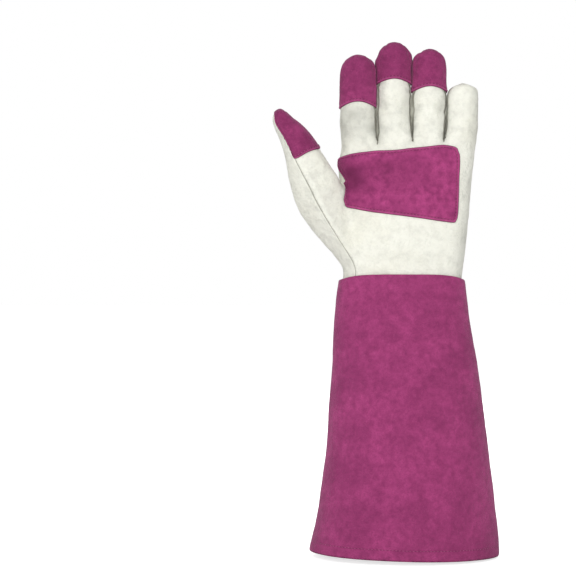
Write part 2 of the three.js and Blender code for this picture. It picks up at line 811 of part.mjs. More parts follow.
// Cuff: outer wall from the hem to the rolled top edge, then the inner wall down to the
// turned hem. Every loop of the wall is one row of points round the cuff.
const wristLow = palmRows[1];
const edgeRow = {
  left: wristLow.left * palmWidth - edgeGap,
  right: wristLow.right * palmWidth + edgeGap,
  deep: wristLow.front * palmDepth + edgeGap,
};

function lapAt(angle, scale) {
  const away = (lapAngle - angle) * scale;
  return away < 0 ? 0 : suede * Math.max(0, 1 - away / lapWidth);
}

const angles = [];
for (let i = 0; i < cuffSides; i += 1) {
  angles.push((2 * Math.PI * i) / cuffSides);
}
const lapStart = angles.findIndex((angle) => angle > lapAngle);
angles.splice(lapStart, 0, lapAngle - 0.012, lapAngle + 0.001);

function cuffPoint(angle, section, height, offset, lapShare) {
  const middle = (section.left + section.right) / 2;
  const half = (section.right - section.left) / 2;
  const [c, s] = [Math.cos(angle), Math.sin(angle)];
  const power = section.power;
  const x = Math.sign(c) * Math.abs(c) ** (2 / power);
  const y = Math.sign(s) * Math.abs(s) ** (2 / power);
  const out = point(x / half, y / section.deep, 0).normalize();
  const lap = lapShare * lapAt(angle, section.deep);
  const spot = point(middle + half * x, section.deep * y, height(x));
  return spot.addScaledVector(out, offset + lap);
}

const tilt = (x) => -hemTilt * x;
const loops = [];
const upperSection = (grow) => ({
  left: edgeRow.left - grow,
  right: edgeRow.right + grow,
  deep: edgeRow.deep + grow,
  power: wristPower,
});
const sectionOf = (row) => ({
  left: row.left * openingWidth,
  right: row.right * openingWidth,
  deep: 0.5 * row.depth * openingDepth,
  power: mix(2.05, 2.45, step(0.4, 1, row.height)),
});

const heightOf = (row) => (x) => {
  const lean = tilt(x) * (1 - row.height) ** 2;
  return row.height * cuffLength + lean - topFollow * row.height ** 8 * edgeDrop(x);
};

cuffRows.forEach((row) => {
  loops.push({ section: sectionOf(row), height: heightOf(row), offset: 0, lap: 1 });
});
const topHeight = (dz) => (x) => cuffLength - edgeDrop(x) + dz;

// Rolled top edge: grow is a share of topRoll outside the wrist, down a height below the edge.
const rollRows = [
  { grow: 1, down: lipHeight, lap: 0.8 },
  { grow: 0.8, down: 0.23 * lipHeight, lap: 0.5 },
  { grow: 0.4, down: 0, lap: 0.2 },
  { grow: 0, down: 0.34 * lipHeight, lap: 0 },
  { grow: 0.05, down: facingHeight, lap: 0 },
  { grow: 0.5, down: facingHeight + suede, lap: 0 },
];
rollRows.forEach(({ grow, down, lap }) => {
  loops.push({ section: upperSection(topRoll * grow), height: topHeight(-down), offset: 0, lap });
});
[...cuffRows].reverse().forEach((row) => {
  if (row.height > 0.9) {
    return;
  }
  if (row.height > 0.05) {
    loops.push({ section: sectionOf(row), height: heightOf(row), offset: -suede, lap: 0 });
  }
});
const hemSection = sectionOf(cuffRows[1]);
loops.push({ section: hemSection, height: (x) => hemHeight + tilt(x) + 0.8, offset: -suede, lap: 0 });
loops.push({ section: hemSection, height: (x) => hemHeight + tilt(x), offset: -2 * suede, lap: 0 });
loops.push({ section: sectionOf(cuffRows[0]), height: (x) => tilt(x), offset: -2 * suede, lap: 0 });

const cuffPositions = [];
loops.forEach((loop) => {
  angles.forEach((angle) => {
    const p = cuffPoint(angle, loop.section, loop.height, loop.offset, loop.lap);
    cuffPositions.push(p.x, p.y, p.z);
  });
});
const cuffIndex = [];
const sides = angles.length;
loops.forEach((loop, k) => {
  const next = (k + 1) % loops.length;
  for (let i = 0; i < sides; i += 1) {
    const n = (i + 1) % sides;
    const [a, b, c, d] = [k * sides + i, k * sides + n, next * sides + n, next * sides + i];
    cuffIndex.push(a, b, c, a, c, d);
  }
});
addMesh('cuff', { positions: cuffPositions, index: cuffIndex }, rose);

export default group;
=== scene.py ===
import math

import bmesh
import bpy
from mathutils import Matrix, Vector, noise
from mathutils.bvhtree import BVHTree
from mathutils.kdtree import KDTree


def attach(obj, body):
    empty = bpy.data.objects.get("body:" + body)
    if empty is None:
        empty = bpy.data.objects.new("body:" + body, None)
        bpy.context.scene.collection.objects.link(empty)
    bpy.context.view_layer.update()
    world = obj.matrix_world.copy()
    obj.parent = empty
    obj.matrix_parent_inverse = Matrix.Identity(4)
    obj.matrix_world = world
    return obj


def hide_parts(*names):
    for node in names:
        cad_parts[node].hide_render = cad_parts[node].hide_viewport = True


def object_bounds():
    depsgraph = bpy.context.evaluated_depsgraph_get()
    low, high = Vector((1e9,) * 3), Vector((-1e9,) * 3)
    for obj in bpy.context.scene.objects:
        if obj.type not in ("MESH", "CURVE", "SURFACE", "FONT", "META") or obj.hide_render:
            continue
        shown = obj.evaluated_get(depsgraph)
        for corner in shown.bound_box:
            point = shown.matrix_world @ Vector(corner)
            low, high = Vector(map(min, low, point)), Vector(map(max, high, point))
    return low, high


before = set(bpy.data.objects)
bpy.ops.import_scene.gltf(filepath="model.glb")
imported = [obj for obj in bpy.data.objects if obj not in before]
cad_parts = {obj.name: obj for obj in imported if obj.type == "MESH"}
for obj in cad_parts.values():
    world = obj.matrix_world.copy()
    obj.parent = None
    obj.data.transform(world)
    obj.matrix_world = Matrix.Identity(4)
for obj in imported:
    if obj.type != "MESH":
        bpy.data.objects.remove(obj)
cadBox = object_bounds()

scene = bpy.context.scene
scene.view_settings.view_transform = "Standard"
mm = 0.001
cuffTop = 0.256   # height where the hand begins
hemLine = 10.2    # height of the hem's sewn line over the edge, in millimetres
sewnInset = 2.6   # how far in from a suede edge its sewn line runs, in millimetres


def smoothStep(low, high, value):
    t = min(1.0, max(0.0, (value - low) / (high - low)))
    return t * t * (3 - 2 * t)


def bell(value, width):
    return math.exp(-(value / width) ** 2)


def deselectAll():
    if bpy.context.mode != "OBJECT":
        bpy.ops.object.mode_set(mode="OBJECT")
    bpy.ops.object.select_all(action="DESELECT")


def makeActive(piece):
    deselectAll()
    piece.select_set(True)
    bpy.context.view_layer.objects.active = piece


creamLook = {
    "light": (0.82, 0.82, 0.735),
    "warm": (0.79, 0.785, 0.69),
    "deep": (0.50, 0.50, 0.445),
    # the seam tone also serves as painted shadow deep in the crevices between the fingers
    "seam": (0.27, 0.265, 0.215),
    "inside": (0.60, 0.545, 0.42),
    "grain": 0.16,    # strength of the pores
    "crease": 0.35,   # strength of the fine crossing creases
    # shade sets how grey the painted shade makes the hollows
    "shade": 0.62,    # how grey the hollows get
}
suedeLook = {
    "light": (0.445, 0.063, 0.216),
    "deep": (0.205, 0.026, 0.100),
    "edge": (0.110, 0.013, 0.052),
    "inside": (0.33, 0.075, 0.175),
    "nap tip": (0.50, 0.110, 0.275),
    "sheen": 0.22,
    "nap": 0.6,
}


def addNode(tree, kind, **settings):
    made = tree.nodes.new(kind)
    for key, value in settings.items():
        setattr(made, key, value)
    return made


def setInputs(made, values):
    for key, value in values.items():
        made.inputs[key].default_value = value


def attributeOf(tree, name):
    return addNode(tree, "ShaderNodeAttribute", attribute_name=name).outputs["Fac"]


def noiseOf(tree, coordinates, scale, detail=3.0, rough=0.55, distort=0.0):
    made = addNode(tree, "ShaderNodeTexNoise")
    setInputs(made, {"Scale": scale, "Detail": detail, "Roughness": rough, "Distortion": distort})
    tree.links.new(coordinates, made.inputs["Vector"])
    return made.outputs["Fac"]


def rangeOf(tree, value, low, high, toLow=0.0, toHigh=1.0):
    made = addNode(tree, "ShaderNodeMapRange", interpolation_type="SMOOTHSTEP")
    setInputs(made, {"From Min": low, "From Max": high, "To Min": toLow, "To Max": toHigh})
    tree.links.new(value, made.inputs["Value"])
    return made.outputs["Result"]


def mixOf(tree, factor, first, second):
    made = addNode(tree, "ShaderNodeMix", data_type="RGBA", blend_type="MIX")
    for socket, value in ((made.inputs[0], factor), (made.inputs[6], first), (made.inputs[7], second)):
        if isinstance(value, bpy.types.NodeSocket):
            tree.links.new(value, socket)
        elif isinstance(value, float):
            socket.default_value = value
        else:
            socket.default_value = (*value, 1.0)
    return made.outputs[2]


def mathOf(tree, operation, first, second=0.0):
    made = addNode(tree, "ShaderNodeMath", operation=operation)
    for socket, value in ((made.inputs[0], first), (made.inputs[1], second)):
        if isinstance(value, bpy.types.NodeSocket):
            tree.links.new(value, socket)
        else:
            socket.default_value = value
    return made.outputs[0]


def bumpOf(tree, height, strength, distance, below=None):
    made = addNode(tree, "ShaderNodeBump")
    setInputs(made, {"Strength": strength, "Distance": distance})
    tree.links.new(height, made.inputs["Height"])
    if below is not None:
        tree.links.new(below, made.inputs["Normal"])
    return made.outputs["Normal"]


def startMaterial(name):
    material = bpy.data.materials.new(name)
    material.use_nodes = True
    tree = material.node_tree
    shader = tree.nodes["Principled BSDF"]
    coordinates = addNode(tree, "ShaderNodeTexCoord").outputs["Object"]
    return material, tree, shader, coordinates


def linkShader(tree, shader, tone, bump, rough):
    tree.links.new(tone, shader.inputs["Base Color"])
    tree.links.new(bump, shader.inputs["Normal"])
    tree.links.new(rough, shader.inputs["Roughness"])


# past 1 the hollowShade attribute holds painted shadow, deepest in the crevices between the fingers
darkest = 2.0  # most that the hollowShade attribute holds; past 1 the leather turns to its seam tone


def creamLeather():
    material, tree, shader, coordinates = startMaterial("creamLeather")
    edge = attributeOf(tree, "edgeDistance")
    hollow = attributeOf(tree, "hollowShade")
    wide = noiseOf(tree, coordinates, 26, 3)
    patchy = noiseOf(tree, coordinates, 130, 4, 0.6)
    speckle = noiseOf(tree, coordinates, 420, 3, 0.6)
    tone = mixOf(tree, rangeOf(tree, wide, 0.38, 0.66), creamLook["light"], creamLook["warm"])
    # hollowShade holds painted shade of folds, hollows, finger sides, gathers and the crevices between
    # fingers, and partly greyer places of the hide's own tone: it strengthens the blotches, turns the tone
    # towards deep and, past 1, towards the seam tone as painted shadow
    blotchAndShade = mathOf(tree, "ADD", mathOf(tree, "MULTIPLY", hollow, 0.7), 0.28)
    uneven = mathOf(tree, "MULTIPLY", rangeOf(tree, patchy, 0.42, 0.74), blotchAndShade)
    tone = mixOf(tree, uneven, tone, creamLook["deep"])
    tone = mixOf(tree, rangeOf(tree, speckle, 0.50, 0.76, 0.0, 0.22), tone, creamLook["deep"])
    tone = mixOf(tree, mathOf(tree, "MULTIPLY", hollow, creamLook["shade"]), tone, creamLook["deep"])
    tone = mixOf(tree, rangeOf(tree, hollow, 1.0, darkest, 0.0, 0.85), tone, creamLook["seam"])
    veins = mathOf(tree, "SUBTRACT", noiseOf(tree, coordinates, 80, 3, 0.5, 0.5), 0.5)
    veins = mathOf(tree, "ABSOLUTE", veins)
    veins = rangeOf(tree, veins, 0.0, 0.028, 1.0, 0.0)
    veins = mathOf(tree, "MULTIPLY", veins, rangeOf(tree, wide, 0.42, 0.56))
    tone = mixOf(tree, mathOf(tree, "MULTIPLY", veins, 0.06), tone, creamLook["seam"])
    tone = mixOf(tree, rangeOf(tree, edge, 0.1, 1.25, 0.95, 0.0), tone, creamLook["seam"])
    pores = addNode(tree, "ShaderNodeTexVoronoi", feature="DISTANCE_TO_EDGE")
    setInputs(pores, {"Scale": 820})
    tree.links.new(coordinates, pores.inputs["Vector"])
    grain = bumpOf(tree, pores.outputs["Distance"], creamLook["grain"], 0.0004)
    grain = bumpOf(tree, noiseOf(tree, coordinates, 330, 5, 0.62, 0.6), 0.5, 0.0016, grain)
    grain = bumpOf(tree, noiseOf(tree, coordinates, 110, 3, 0.5, 0.5), 0.45, 0.0045, grain)
    grain = bumpOf(tree, veins, -creamLook["crease"], 0.0005, grain)
    linkShader(tree, shader, tone, grain, rangeOf(tree, patchy, 0.3, 0.7, 0.5, 0.66))
    setInputs(shader, {"Specular IOR Level": 0.3, "Sheen Weight": 0.06})
    return material


def roseSuede(name, shade, groove, cutEdge, mottle):
    # groove tells how far in from the edge the sewn line runs, in millimetres
    material, tree, shader, coordinates = startMaterial(name)
    light = tuple(part * shade for part in suedeLook["light"])
    deep = tuple(part * shade for part in suedeLook["deep"])
    edge = attributeOf(tree, "edgeDistance")
    hollow = attributeOf(tree, "hollowShade")
    wide = noiseOf(tree, coordinates, 34, 3, 0.5, 0.4)
    patchy = noiseOf(tree, coordinates, 160, 5, 0.7)
    fibres = noiseOf(tree, coordinates, 640, 4, 0.75, 0.4)
    tone = mixOf(tree, rangeOf(tree, wide, 0.34, 0.68, 0.10, 0.52), light, deep)
    tone = mixOf(tree, rangeOf(tree, patchy, 0.40, 0.66, 0.0, mottle), tone, deep)
    tone = mixOf(tree, rangeOf(tree, fibres, 0.36, 0.56, 0.50, 0.0), tone, deep)
    tone = mixOf(tree, rangeOf(tree, fibres, 0.54, 0.74, 0.0, 0.35), tone, suedeLook["nap tip"])
    # hollowShade turns the suede towards its edge tone: painted shade, partly the hide's own tone
    tone = mixOf(tree, mathOf(tree, "MULTIPLY", hollow, 0.75), tone, suedeLook["edge"])
    rising = rangeOf(tree, edge, groove - 0.9, groove)
    falling = rangeOf(tree, edge, groove, groove + 0.9, 1.0, 0.0)
    line = mathOf(tree, "MULTIPLY", rising, falling)
    if cutEdge:
        starting = rangeOf(tree, edge, 0.4, 0.9)
        ending = rangeOf(tree, edge, 1.2, 2.0, 1.0, 0.0)
        rim = mathOf(tree, "MULTIPLY", starting, ending)
        tone = mixOf(tree, mathOf(tree, "MULTIPLY", rim, 0.45), tone, suedeLook["nap tip"])
        tone = mixOf(tree, rangeOf(tree, edge, 0.1, 0.6), suedeLook["edge"], tone)
    tone = mixOf(tree, mathOf(tree, "MULTIPLY", line, 0.42), tone, suedeLook["edge"])
    nap = bumpOf(tree, fibres, suedeLook["nap"], 0.0011)
    nap = bumpOf(tree, patchy, 0.4, 0.0026, nap)
    nap = bumpOf(tree, line, -0.6, 0.0005, nap)
    linkShader(tree, shader, tone, nap, rangeOf(tree, patchy, 0.3, 0.7, 0.86, 0.98))
    setInputs(shader, {"Specular IOR Level": 0.12, "Sheen Weight": suedeLook["sheen"],
                       "Sheen Roughness": 0.45, "Sheen Tint": (0.95, 0.62, 0.80, 1.0)})
    return material


def fleshSide(name, light, deep, rough):
    # the napped back of a hide, also seen where it is cut through
    material, tree, shader, coordinates = startMaterial(name)
    patchy = noiseOf(tree, coordinates, 240, 4, 0.6)
    fibres = noiseOf(tree, coordinates, 1500, 3, 0.7)
    tone = mixOf(tree, rangeOf(tree, patchy, 0.35, 0.7), light, deep)
    linkShader(tree, shader, tone, bumpOf(tree, fibres, 0.4, 0.0006),
               rangeOf(tree, patchy, 0.3, 0.7, rough - 0.06, rough))
    setInputs(shader, {"Specular IOR Level": 0.12, "Sheen Weight": 0.15})
    return material


def twistedThread(name, light, deep):
    material, tree, shader, coordinates = startMaterial(name)
    strands = noiseOf(tree, coordinates, 2200, 2, 0.5)
    tone = mixOf(tree, rangeOf(tree, strands, 0.4, 0.65), deep, light)
    linkShader(tree, shader, tone, bumpOf(tree, strands, 0.4, 0.0003),
               rangeOf(tree, strands, 0.3, 0.7, 0.5, 0.7))
    return material


creamFace = creamLeather()
# the dark tone of the cut edges is partly their own and partly painted shadow in the seams; it also serves
# as painted shadow on the flesh side of the strips between the fingers
creamEdgeAndShadow = fleshSide("creamCutEdgeAndShadow", (0.25, 0.245, 0.205), (0.15, 0.147, 0.12), 0.9)
creamInside = fleshSide("creamFleshSide", creamLook["inside"], (0.48, 0.43, 0.33), 0.95)
cuffSuede = roseSuede("cuffSuede", 0.95, hemLine, False, 0.55)
patchSuede = roseSuede("patchSuede", 1.10, sewnInset, True, 0.8)
capSuede = roseSuede("capSuede", 0.86, sewnInset, True, 0.65)
suedeEdge = fleshSide("suedeCutEdge", (0.27, 0.045, 0.135), suedeLook["edge"], 0.95)
suedeInside = fleshSide("suedeFleshSide", suedeLook["inside"], (0.22, 0.04, 0.11), 0.97)
creamThread = twistedThread("creamThread", (0.80, 0.77, 0.66), (0.55, 0.51, 0.40))
roseThread = twistedThread("roseThread", (0.46, 0.105, 0.255), (0.27, 0.045, 0.135))
print("finishes ready")


def addObject(name, data):
    made = bpy.data.objects.new(name, data)
    scene.collection.objects.link(made)
    return made


def copyNode(node, name):
    deselectAll()
    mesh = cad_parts[node].data.copy()
    mesh.name = name
    mesh.materials.clear()
    piece = addObject(name, mesh)
    makeActive(piece)
    bpy.ops.mesh.customdata_custom_splitnormals_clear()
    bpy.ops.object.mode_set(mode="EDIT")
    bpy.ops.mesh.select_all(action="SELECT")
    bpy.ops.mesh.remove_doubles(threshold=0.00002)
    bpy.ops.mesh.tris_convert_to_quads(face_threshold=math.radians(50), shape_threshold=math.radians(70))
    bpy.ops.object.mode_set(mode="OBJECT")
    bpy.ops.object.shade_smooth()
    return piece


sharpAngle = math.radians(52)  # the cut edges are sharper than this


def smoothRegions(shape, limit):
    # groups of faces with no edge between them sharper than the limit, the largest first
    seen = set()
    regions = []
    for start in shape.faces:
        if start in seen:
            continue
        region = [start]
        seen.add(start)
        for face in region:
            for line in face.edges:
                if len(line.link_faces) != 2 or line.calc_face_angle(0) > limit:
                    continue
                for other in line.link_faces:
                    if other not in seen:
                        seen.add(other)
                        region.append(other)
        regions.append(region)
    return sorted(regions, key=lambda region: -sum(face.calc_area() for face in region))


def markSides(piece, trough):
    # material 0 is the outer side, 1 the cut edge and 2 the flesh side; a trough's flesh side
    # is the larger one, and a small region in the midst of the outer side belongs to it
    shape = bmesh.new()
    shape.from_mesh(piece.data)
    regions = smoothRegions(shape, sharpAngle)
    kinds = [0, 2] if not trough else [2, 0]
    belongs = {face: i for i, region in enumerate(regions) for face in region}
    for i, region in enumerate(regions):
        touched = {belongs[other] for face in region for line in face.edges for other in line.link_faces}
        sides = touched & {0, 1}
        if i > 1:
            kinds.append(0 if sides == {kinds.index(0)} else 1)
        for face in region:
            face.material_index = kinds[i]
    shape.to_mesh(piece.data)
    shape.free()


def insetRim(piece, width):
    # a narrow row of faces along the edge, so that the edge can be rounded over
    makeActive(piece)
    for face in piece.data.polygons:
        face.select = face.material_index == 0
    bpy.ops.object.mode_set(mode="EDIT")
    bpy.ops.mesh.select_mode(type="FACE")
    bpy.ops.mesh.inset(thickness=width, depth=0, use_even_offset=False, use_boundary=True)
    bpy.ops.object.mode_set(mode="OBJECT")


def creaseLayer(shape):
    layers = shape.edges.layers.float
    return layers.get("crease_edge") or layers.new("crease_edge")


def creaseRim(piece):
    shape = bmesh.new()
    shape.from_mesh(piece.data)
    layer = creaseLayer(shape)
    for line in shape.edges:
        kinds = {face.material_index for face in line.link_faces}
        line[layer] = 1.0 if len(kinds) > 1 else 0.0
    shape.to_mesh(piece.data)
    shape.free()


def smoothOut(piece, level):
    makeActive(piece)
    bpy.ops.object.modifier_add(type="SUBSURF")
    softener = piece.modifiers[-1]
    softener.levels = level
    softener.render_levels = level
    bpy.ops.object.modifier_apply(modifier=softener.name)


def refineBand(piece, low, high):
    # smaller faces between two heights, where the leather is gathered
    makeActive(piece)
    for face in piece.data.polygons:
        face.select = low < face.center.z / mm < high
    bpy.ops.object.mode_set(mode="EDIT")
    bpy.ops.mesh.select_mode(type="FACE")
    bpy.ops.mesh.subdivide(number_cuts=1, smoothness=0)
    bpy.ops.object.mode_set(mode="OBJECT")


def rimLoops(piece):
    # ordered points along the outer edge, each with the direction into the piece
    shape = bmesh.new()
    shape.from_mesh(piece.data)
    shape.normal_update()
    follow = {}
    for line in shape.edges:
        kinds = {face.material_index: face for face in line.link_faces}
        if set(kinds) == {0, 1}:
            for vert in line.verts:
                follow.setdefault(vert, []).append((line, kinds[0]))
    loops = []
    unused = set(follow)
    while unused:
        start = next((v for v in sorted(unused, key=lambda v: v.index) if len(follow[v]) == 1), None)
        start = start or min(unused, key=lambda v: v.index)
        here = start
        loop = []
        while here is not None and here in unused:
            unused.discard(here)
            away = Vector()
            for line, face in follow[here]:
                middle = (line.verts[0].co + line.verts[1].co) / 2
                away += (face.calc_center_median() - middle).normalized()
            loop.append((here.co.copy(), away.normalized()))
            here = next((line.other_vert(here) for line, face in follow[here]
                         if line.other_vert(here) in unused), None)
        if len(loop) > 4:
            loops.append(loop)
    shape.free()
    return loops


def writeAttribute(piece, name, values):
    made = piece.data.attributes.get(name) or piece.data.attributes.new(name, "FLOAT", "POINT")
    made.data.foreach_set("value", values)


def treeOf(points):
    made = KDTree(len(points))
    for i, spot in enumerate(points):
        made.insert(spot, i)
    made.balance()
    return made


def averageMove(field, place):
    # the move of what lies beneath, from the four nearest places where it is known
    total = Vector()
    weights = 0.0
    for spot, i, far in field["tree"].find_n(place, 4):
        weight = 1 / (far + 0.0002)
        total += field["moves"][i] * weight
        weights += weight
    return total / weights


def dress(piece, settings, below=None):
    # the settings' shape says how the outer side moves at a place; the flesh side follows it
    mesh = piece.data
    rims = [spot for loop in rimLoops(piece) for spot, away in loop]
    rimTree = treeOf(rims)
    normals = [v.normal.copy() for v in mesh.vertices]
    onSheet = set()
    outerNormal = {}
    for face in mesh.polygons:
        if face.material_index != 1:
            onSheet.update(face.vertices)
        if face.material_index == 0:
            for v in face.vertices:
                outerNormal[v] = outerNormal.get(v, Vector()) + face.normal
    outerList = sorted(outerNormal)
    outerTree = treeOf([mesh.vertices[v].co for v in outerList])
    edges = [0.0] * len(mesh.vertices)
    shades = [0.0] * len(mesh.vertices)
    moves = {}
    for v in outerList:
        place = mesh.vertices[v].co
        edge = rimTree.find(place)[2] / mm
        normal = outerNormal[v].normalized()
        move, shade = settings["shape"](place, normal, edge)
        if below:
            move += averageMove(below, place + move)
        roll = settings["roll"] * (1 - smoothStep(0, rimWidth, edge)) ** 1.3
        moves[v] = move - normal * roll * mm
        edges[v] = min(edge, 30.0)
        shades[v] = min(darkest, max(0.0, shade))
    field = {
        "tree": outerTree,
        "moves": [moves[v] for v in outerList],
        "places": [mesh.vertices[v].co.copy() for v in outerList],
    }
    spots = []
    for i, vert in enumerate(mesh.vertices):
        if i in moves:
            spots.append(vert.co + moves[i])
            continue
        near = outerList[outerTree.find(vert.co)[1]]
        spot = vert.co + moves[near]
        if i not in onSheet:
            spot += normals[i] * settings["closing"] * mm
        edges[i] = edges[near]
        shades[i] = shades[near]
        spots.append(spot)
    for vert, spot in zip(mesh.vertices, spots):
        vert.co = spot
    mesh.update()
    writeAttribute(piece, "edgeDistance", edges)
    writeAttribute(piece, "hollowShade", shades)
    return field


# finer gives the heights in millimetres between which the faces are split once more
bodyNodes = {
    "palmPanel": {"node": "palm_panel", "level": 2},
    "backPanel": {"node": "back_panel", "level": 2, "finer": (258, 298)},
    "thumbBack": {"node": "thumb_back", "level": 3},
    "fourchetteIndexMiddle": {"node": "fourchette_index_middle", "level": 3, "trough": True},
    "fourchetteMiddleRing": {"node": "fourchette_middle_ring", "level": 3, "trough": True},
    "fourchetteRingLittle": {"node": "fourchette_ring_little", "level": 3, "trough": True},
}
suedeNodes = {
    "indexCap": {"node": "index_cap", "level": 3},
    "middleCap": {"node": "middle_cap", "level": 3},
    "ringCap": {"node": "ring_cap", "level": 3},
    "thumbCap": {"node": "thumb_cap", "level": 3},
    "palmPatch": {"node": "palm_patch", "level": 3},
}
rimWidth = 1.5  # how far in from an edge it is rounded over, in millimetres


def makeSheet(name, settings, looks):
    piece = copyNode(settings["node"], name)
    for look in looks:
        piece.data.materials.append(look)
    markSides(piece, settings.get("trough", False))
    insetRim(piece, rimWidth * mm)
    creaseRim(piece)
    smoothOut(piece, settings["level"])
    if "finer" in settings:
        refineBand(piece, *settings["finer"])
    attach(piece, "root")
    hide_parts(settings["node"])
    print("made", name, len(piece.data.polygons), "faces")
    return piece


pieces = {}
for name, settings in bodyNodes.items():
    # the strips between the fingers get the dark cut-edge finish on their flesh side too, as painted
    # shadow
    inside = creamEdgeAndShadow if settings.get("trough") else creamInside
    pieces[name] = makeSheet(name, settings, (creamFace, creamEdgeAndShadow, inside))
for name, settings in suedeNodes.items():
    face = patchSuede if name == "palmPatch" else capSuede
    pieces[name] = makeSheet(name, settings, (face, suedeEdge, suedeInside))


# the photographed fingers lie side by side; places across and up the hand are in millimetres
gapLines = {
    "indexMiddle": {
        "line": (-25.4, 374, -26.5, 458), "top": 457, "touch": 451, "sides": ("index", "middle"),
    },
    "middleRing": {
        "line": (6.2, 376, 6.5, 463), "top": 462, "touch": 454, "sides": ("middle", "ring"),
    },
    "ringLittle": {
        "line": (35.2, 376, 38.6, 432), "top": 431, "touch": 423, "sides": ("ring", "little"),
    },
}
gapRoom = {
    "overlap": 0.12,   # how far each side goes past the middle
    "most": 3.4,
    "reach": 15.0,     # how far into a finger the move fades out
    "search": 14.0,    # how far from the gap's line a side is looked for
    "bin": 1.5,        # step of height in the table of sides
    "low": 371,
    "turn": 3.0,
    "seam": 1.6,       # most that the palm's edge moves beyond the side of the finger
    "crevice": 0.3,    # what is left open at the front
}
missing = 999.0  # stands in the table where no side was found
# where the caps begin on the left and right finger of each gap
gapCaps = {"indexMiddle": (411, 431), "middleRing": (431, 425), "ringLittle": (425, 500)}
# shade is the painted shade on the front of a finger where it turns into the gap beside its neighbour;
# depth sinks the leather there
valleyLook = {"width": 5.5, "depth": 0.7, "shade": 0.55}
capFinger = {"indexCap": "index", "middleCap": "middle", "ringCap": "ring"}
sideGap = {"fourchetteIndexMiddle": "indexMiddle", "fourchetteMiddleRing": "middleRing",
           "fourchetteRingLittle": "ringLittle"}


def lineAcross(line, height):
    lowX, lowZ, highX, highZ = line["line"]
    return lowX + (highX - lowX) * min(1.0, max(0.0, (height - lowZ) / (highZ - lowZ)))


def measureGaps():
    # the facing sides of two neighbouring fingers, height by height
    found = {gap: {} for gap in gapLines}
    for name, piece in pieces.items():
        if name in ("palmPatch", "thumbBack", "thumbCap"):
            continue
        outer = {v for face in piece.data.polygons if face.material_index == 0 for v in face.vertices}
        for v in outer:
            vert = piece.data.vertices[v]
            x, z = vert.co.x / mm, vert.co.z / mm
            if z < gapRoom["low"]:
                continue
            key = int(z // gapRoom["bin"])
            for gap, line in gapLines.items():
                off = x - lineAcross(line, z)
                if abs(off) > gapRoom["search"] or (name in sideGap and sideGap[name] != gap):
                    continue
                if name in sideGap:
                    if abs(vert.normal.x) < 0.35:
                        continue
                    onLeft = vert.normal.x > 0
                elif name in capFinger:
                    if capFinger[name] not in line["sides"]:
                        continue
                    onLeft = capFinger[name] == line["sides"][0]
                else:
                    onLeft = off < 0
                side = (0 if onLeft else 1) + (2 if name == "palmPanel" else 0)
                row = found[gap].setdefault(key, [(-missing, 0), (missing, 0)] * 2)
                wall = side % 2
                for slot in {wall, side}:
                    if (x > row[slot][0]) == onLeft:
                        row[slot] = (x, vert.co.y / mm)
    return found


gapTable = measureGaps()


def gapSides(gap, height):
    # the two sides, the palm's own edges and their depth, smoothed over a few steps of height
    key = int(height // gapRoom["bin"])
    total = [0.0] * 6
    weights = 0.0
    for step in range(-3, 4):
        row = gapTable[gap].get(key + step)
        away = abs((key + step + 0.5) * gapRoom["bin"] - height) / gapRoom["bin"]
        weight = max(0.0, 1 - away / 2.5)
        if not row or any(abs(x) == missing for x, y in row):
            continue
        values = [x for x, y in row] + [row[2][1], row[3][1]]
        total = [old + value * weight for old, value in zip(total, values)]
        weights += weight
    if weights < 0.4:
        return None
    return [value / weights for value in total]


def closeFingers(place):
    # sideways move that brings neighbouring fingers together
    x, z = place.x / mm, place.z / mm
    move = 0.0
    for gap, line in gapLines.items():
        if z < gapRoom["low"] or z > line["top"] or abs(x - lineAcross(line, z)) > gapRoom["reach"] + 8:
            continue
        sides = gapSides(gap, z)
        if not sides:
            continue
        left, right, palmLeft, palmRight, leftDepth, rightDepth = sides
        room = min(gapRoom["most"], max(0.0, (right - left) / 2 + gapRoom["overlap"]))
        onLeft = x < (left + right) / 2
        extra = max(0.0, left - palmLeft) if onLeft else max(0.0, palmRight - right)
        seamDepth = leftDepth if onLeft else rightDepth
        capStart = gapCaps[gap][0 if onLeft else 1]
        capped = smoothStep(capStart - 4, capStart, z)
        front = 1 - smoothStep(seamDepth, seamDepth + gapRoom["turn"], place.y / mm)
        room += max(0.0, min(gapRoom["seam"], extra) - gapRoom["crevice"]) * front * (1 - capped)
        ending = 1 - smoothStep(line["touch"] - 4, line["top"], z)
        room *= smoothStep(gapRoom["low"], gapRoom["low"] + 7, z) * ending
        if onLeft:
            move += room * max(0.0, 1 - max(0.0, left - x) / gapRoom["reach"]) ** 1.5
        else:
            move -= room * max(0.0, 1 - max(0.0, x - right) / gapRoom["reach"]) ** 1.5
    return Vector((move * mm, 0, 0))


def valley(place):
    # how near the front of a finger is to the place where it meets its neighbour, from 0 to 1
    x, z = place.x / mm, place.z / mm
    deepest = 0.0
    for gap, line in gapLines.items():
        if z < gapRoom["low"] or z > line["top"] + 4:
            continue
        sides = gapSides(gap, min(z, line["touch"]))
        if not sides:
            continue
        left, right, palmLeft, palmRight = sides[:4]
        away = max(0.0, palmLeft - x) if x < (left + right) / 2 else max(0.0, x - palmRight)
        near = max(0.0, 1 - away / valleyLook["width"]) ** 2
        deepest = max(deepest, near * smoothStep(gapRoom["low"], gapRoom["low"] + 6, z))
    return deepest


